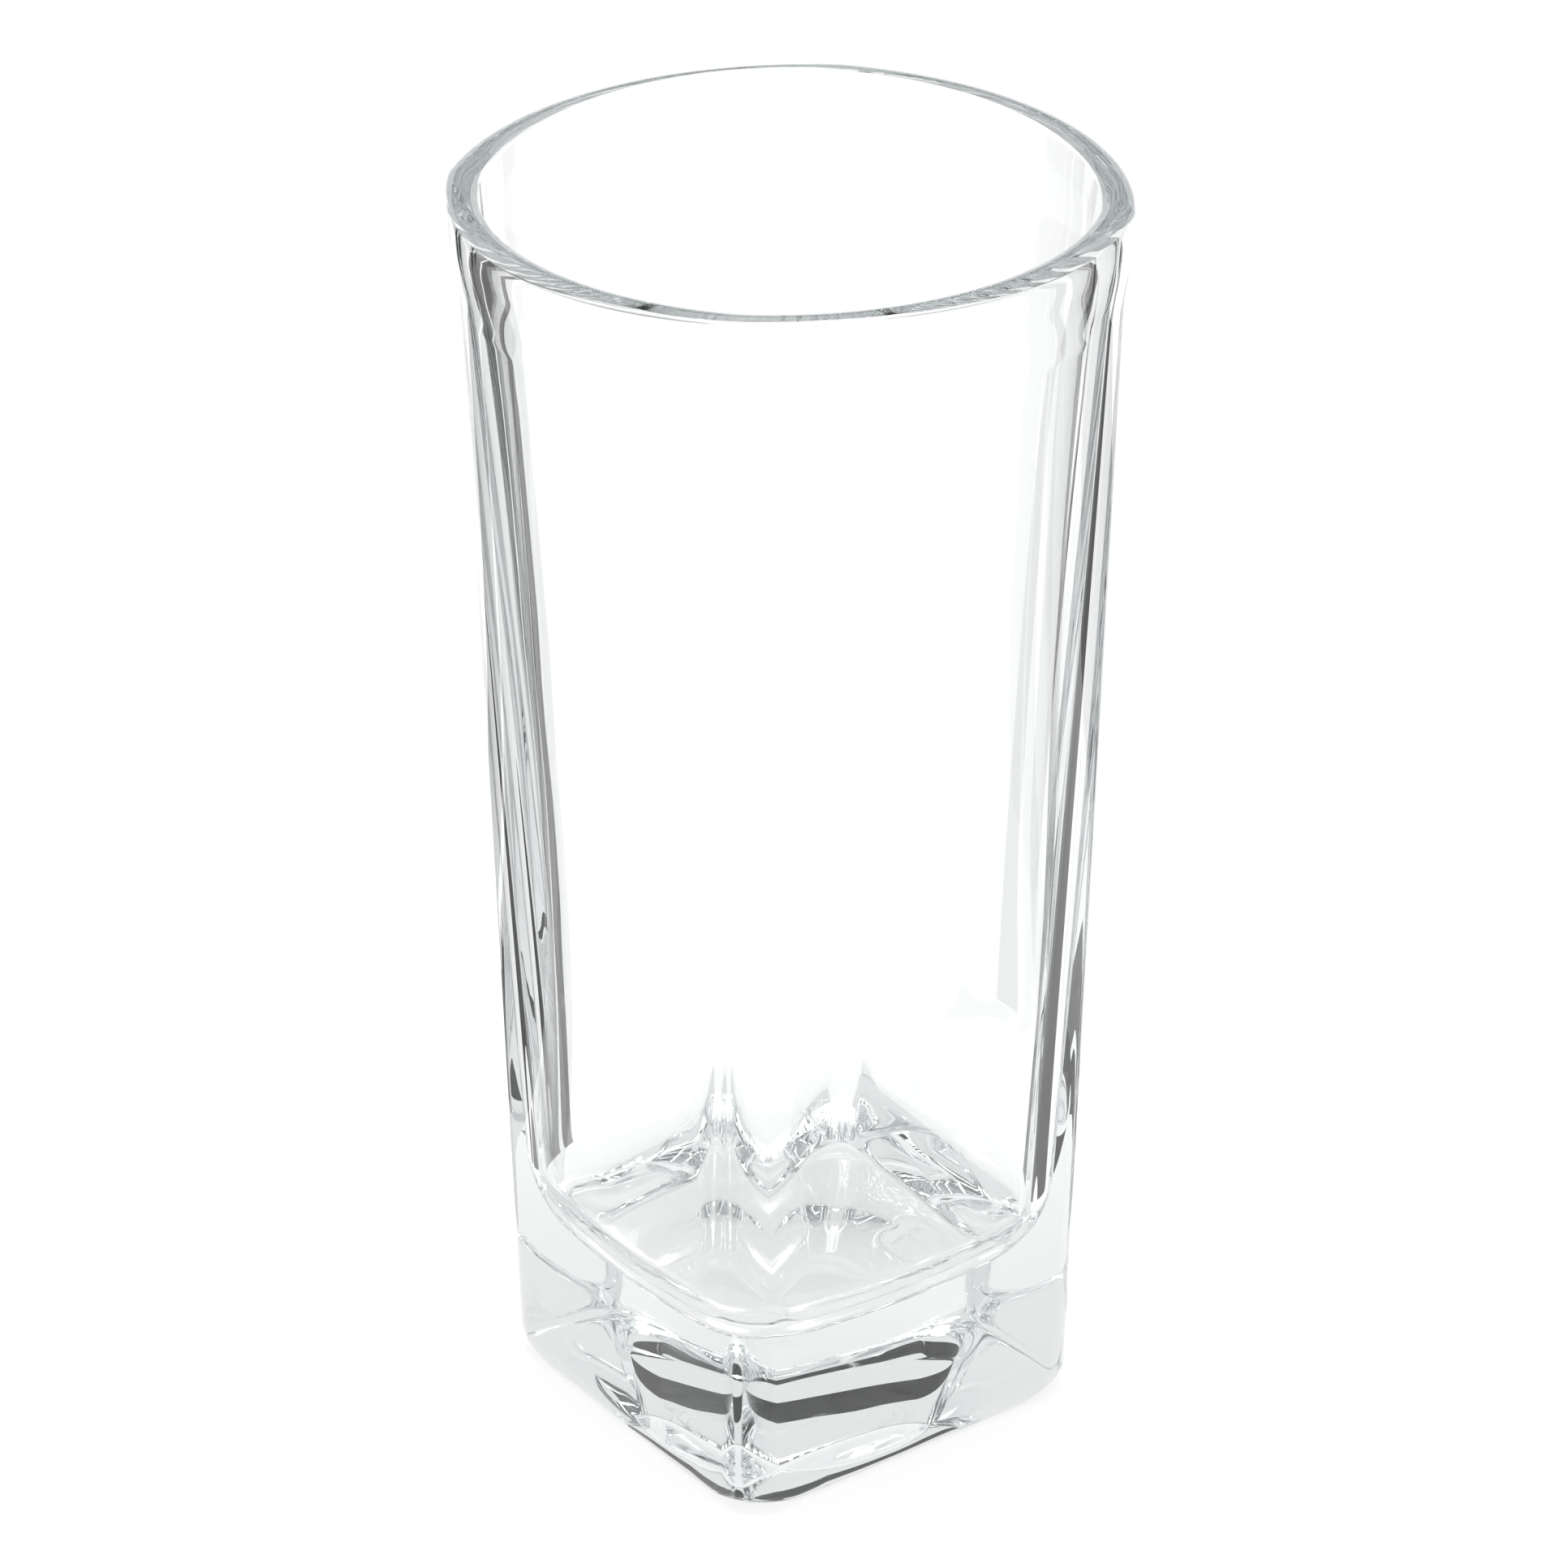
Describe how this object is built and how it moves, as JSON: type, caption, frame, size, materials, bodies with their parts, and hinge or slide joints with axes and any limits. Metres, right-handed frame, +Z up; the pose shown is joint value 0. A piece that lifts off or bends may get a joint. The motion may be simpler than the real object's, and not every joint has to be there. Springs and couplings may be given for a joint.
{
  "type": "highball glass",
  "caption": "Tall clear pressed drinking glass with a square foot that swells into a nearly round rim, thick corner columns and a thick solid base.",
  "frame": {"origin": "middle of the standing face, on the surface that the glass stands on", "axes": "+Z up through the middle of the mouth; the four sides face +X, -X, +Y and -Y"},
  "size_m": [0.068, 0.068, 0.141],
  "materials": {
    "clear_glass": "clear polished pressed soda-lime glass"
  },
  "bodies": {
    "root": {"tumbler": "clear_glass"}
  },
  "joints": []
}
